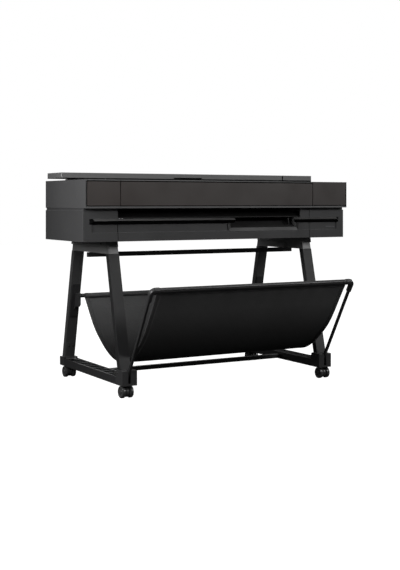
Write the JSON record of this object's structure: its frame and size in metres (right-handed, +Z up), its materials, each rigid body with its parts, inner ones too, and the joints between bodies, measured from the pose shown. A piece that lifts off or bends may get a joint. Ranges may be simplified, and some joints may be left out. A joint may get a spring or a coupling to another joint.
{
  "type": "large format plotter",
  "caption": "Wide-format roll plotter on a wheeled A-frame stand with a hinged roll cover, front window, ink door and fabric catch basket.",
  "frame": {"origin": "on the floor, under the middle of the object's box", "axes": "+X along the housing towards the user's right, +Y towards the rear, +Z up"},
  "size_m": [1.317, 0.8784, 0.9265],
  "materials": {
    "housing": "fine moulded texture, satin",
    "face_panel": "smooth satin, brown-grey",
    "lid": "fine moulded texture, satin",
    "inner_black": "matt black",
    "sheet_steel": "zinc-plated sheet",
    "bright_steel": "turned",
    "carriage_plastic": "satin",
    "roller_rubber": "matt",
    "ink": "glossy",
    "screen_glass": "glossy black glass",
    "stand_paint": "powder coat",
    "stand_plastic": "satin moulded",
    "fabric": "fine woven polyester",
    "caster_plastic": "satin",
    "wheel_tread": "smooth nylon",
    "screw_steel": "black oxide"
  },
  "bodies": {
    "root": {"base_pan": "sheet_steel", "basket_fabric": "fabric", "basket_rear_clamps": "stand_paint", "basket_rear_tube": "stand_paint", "carriage_beam": "sheet_steel", "crossbars": "stand_paint", "drive_belt": "roller_rubber", "drive_motors": "bright_steel", "electronics_box": "sheet_steel", "foot_beams": "stand_paint", "foot_end_caps": "stand_plastic", "front_legs": "stand_paint", "front_rail": "housing", "guide_rod": "bright_steel", "ink_cartridges": "ink", "inlet_socket": "inner_black", "left_front_cover": "housing", "left_front_panel": "face_panel", "left_side_cover": "housing", "lower_front_panel": "housing", "lower_left_end": "housing", "lower_right_end": "housing", "platen": "inner_black", "rear_cover": "housing", "rear_legs": "stand_paint", "right_side_cover": "housing", "screws": "screw_steel", "service_station": "inner_black", "sheet_scoop": "inner_black", "side_plates": "sheet_steel", "top_brackets": "stand_paint", "top_deck": "housing"},
    "window": {"front_window": "housing", "window_panel": "face_panel"},
    "ink_door": {"ink_door": "housing", "ink_door_panel": "face_panel"},
    "roll_cover": {"roll_cover": "lid"},
    "control_panel": {"control_panel": "lid", "touch_screen": "screen_glass"},
    "power_button": {"power_button": "inner_black"},
    "cutter": {"cutter": "inner_black"},
    "feed_roller": {"feed_roller": "roller_rubber"},
    "pinch_rollers": {"pinch_rollers": "roller_rubber"},
    "carriage": {"carriage": "carriage_plastic"},
    "drive_pulley": {"drive_pulley": "bright_steel"},
    "idler_pulley": {"idler_pulley": "bright_steel"},
    "spindle": {"roll_spindle": "bright_steel", "spindle_hubs": "inner_black"},
    "sheet_guide": {"sheet_guide": "inner_black"},
    "basket_frame": {"basket_arms": "stand_paint", "basket_elbows": "stand_plastic", "basket_front_tube": "stand_paint"},
    "caster_front_left": {"caster_horn_front_left": "caster_plastic"},
    "wheels_front_left": {"caster_wheels_front_left": "wheel_tread"},
    "caster_front_right": {"caster_horn_front_right": "caster_plastic"},
    "wheels_front_right": {"caster_wheels_front_right": "wheel_tread"},
    "caster_rear_left": {"caster_horn_rear_left": "caster_plastic"},
    "wheels_rear_left": {"caster_wheels_rear_left": "wheel_tread"},
    "caster_rear_right": {"caster_horn_rear_right": "caster_plastic"},
    "wheels_rear_right": {"caster_wheels_rear_right": "wheel_tread"}
  },
  "joints": [
    {"name": "window_hinge", "type": "hinge", "parent": "root", "child": "window", "pos_m": [0, 0.02405, 0.8895], "axis": [-1, 0, 0], "range_deg": [0, 70]},
    {"name": "ink_door_hinge", "type": "hinge", "parent": "root", "child": "ink_door", "pos_m": [0.56225, -0.15575, 0.7775], "axis": [1, 0, 0], "range_deg": [0, 88]},
    {"name": "roll_cover_hinge", "type": "hinge", "parent": "root", "child": "roll_cover", "pos_m": [0, 0.25775, 0.9066], "axis": [-1, 0, 0], "range_deg": [0, 95]},
    {"name": "control_panel_tilt", "type": "hinge", "parent": "root", "child": "control_panel", "pos_m": [0.569, 0.10825, 0.9066], "axis": [1, 0, 0], "range_deg": [0, 45]},
    {"name": "power_button_press", "type": "slide", "parent": "control_panel", "child": "power_button", "axis": [0, 0, -1], "range_m": [0, 0.0015], "stiffness_N_per_m": 400},
    {"name": "cutter_slide", "type": "slide", "parent": "root", "child": "cutter", "axis": [1, 0, 0], "range_m": [0, 0.9]},
    {"name": "feed_roller_spin", "type": "hinge", "parent": "root", "child": "feed_roller", "pos_m": [0, 0.01035, 0.745], "axis": [1, 0, 0], "continuous": true},
    {"name": "pinch_roller_spin", "type": "hinge", "parent": "root", "child": "pinch_rollers", "pos_m": [0, 0.01035, 0.7634], "axis": [1, 0, 0], "continuous": true},
    {"name": "carriage_slide", "type": "slide", "parent": "root", "child": "carriage", "axis": [-1, 0, 0], "range_m": [0, 1.06]},
    {"name": "drive_pulley_spin", "type": "hinge", "parent": "root", "child": "drive_pulley", "pos_m": [0.54, -0.03325, 0.8385], "axis": [0, 1, 0], "continuous": true},
    {"name": "idler_pulley_spin", "type": "hinge", "parent": "root", "child": "idler_pulley", "pos_m": [-0.6105, -0.03325, 0.8385], "axis": [0, 1, 0], "continuous": true},
    {"name": "spindle_spin", "type": "hinge", "parent": "root", "child": "spindle", "pos_m": [0, 0.17775, 0.838], "axis": [1, 0, 0], "continuous": true},
    {"name": "sheet_guide_slide", "type": "slide", "parent": "root", "child": "sheet_guide", "axis": [-1, 0, 0], "range_m": [0, 0.15]},
    {"name": "basket_fold", "type": "hinge", "parent": "root", "child": "basket_frame", "pos_m": [0, -0.21475, 0.088], "axis": [-1, 0, 0], "range_deg": [0, 38], "deforming": ["basket_fabric"]},
    {"name": "caster_swivel_front_left", "type": "hinge", "parent": "root", "child": "caster_front_left", "pos_m": [-0.4945, -0.19025, 0.052], "axis": [0, 0, 1], "continuous": true},
    {"name": "wheel_spin_front_left", "type": "hinge", "parent": "caster_front_left", "child": "wheels_front_left", "pos_m": [-0.4945, -0.202, 0.025], "axis": [1, 0, 0], "continuous": true},
    {"name": "caster_swivel_front_right", "type": "hinge", "parent": "root", "child": "caster_front_right", "pos_m": [0.4945, -0.19025, 0.052], "axis": [0, 0, 1], "continuous": true},
    {"name": "wheel_spin_front_right", "type": "hinge", "parent": "caster_front_right", "child": "wheels_front_right", "pos_m": [0.4945, -0.202, 0.025], "axis": [1, 0, 0], "continuous": true},
    {"name": "caster_swivel_rear_left", "type": "hinge", "parent": "root", "child": "caster_rear_left", "pos_m": [-0.4945, 0.40925, 0.052], "axis": [0, 0, 1], "continuous": true},
    {"name": "wheel_spin_rear_left", "type": "hinge", "parent": "caster_rear_left", "child": "wheels_rear_left", "pos_m": [-0.4945, 0.3975, 0.025], "axis": [1, 0, 0], "continuous": true},
    {"name": "caster_swivel_rear_right", "type": "hinge", "parent": "root", "child": "caster_rear_right", "pos_m": [0.4945, 0.40925, 0.052], "axis": [0, 0, 1], "continuous": true},
    {"name": "wheel_spin_rear_right", "type": "hinge", "parent": "caster_rear_right", "child": "wheels_rear_right", "pos_m": [0.4945, 0.3975, 0.025], "axis": [1, 0, 0], "continuous": true}
  ],
  "couplings": [
    {"joint": "pinch_roller_spin", "follows": "feed_roller_spin", "ratio": -2},
    {"joint": "drive_pulley_spin", "follows": "carriage_slide", "rad_per_m": 125},
    {"joint": "idler_pulley_spin", "follows": "carriage_slide", "rad_per_m": 125}
  ]
}
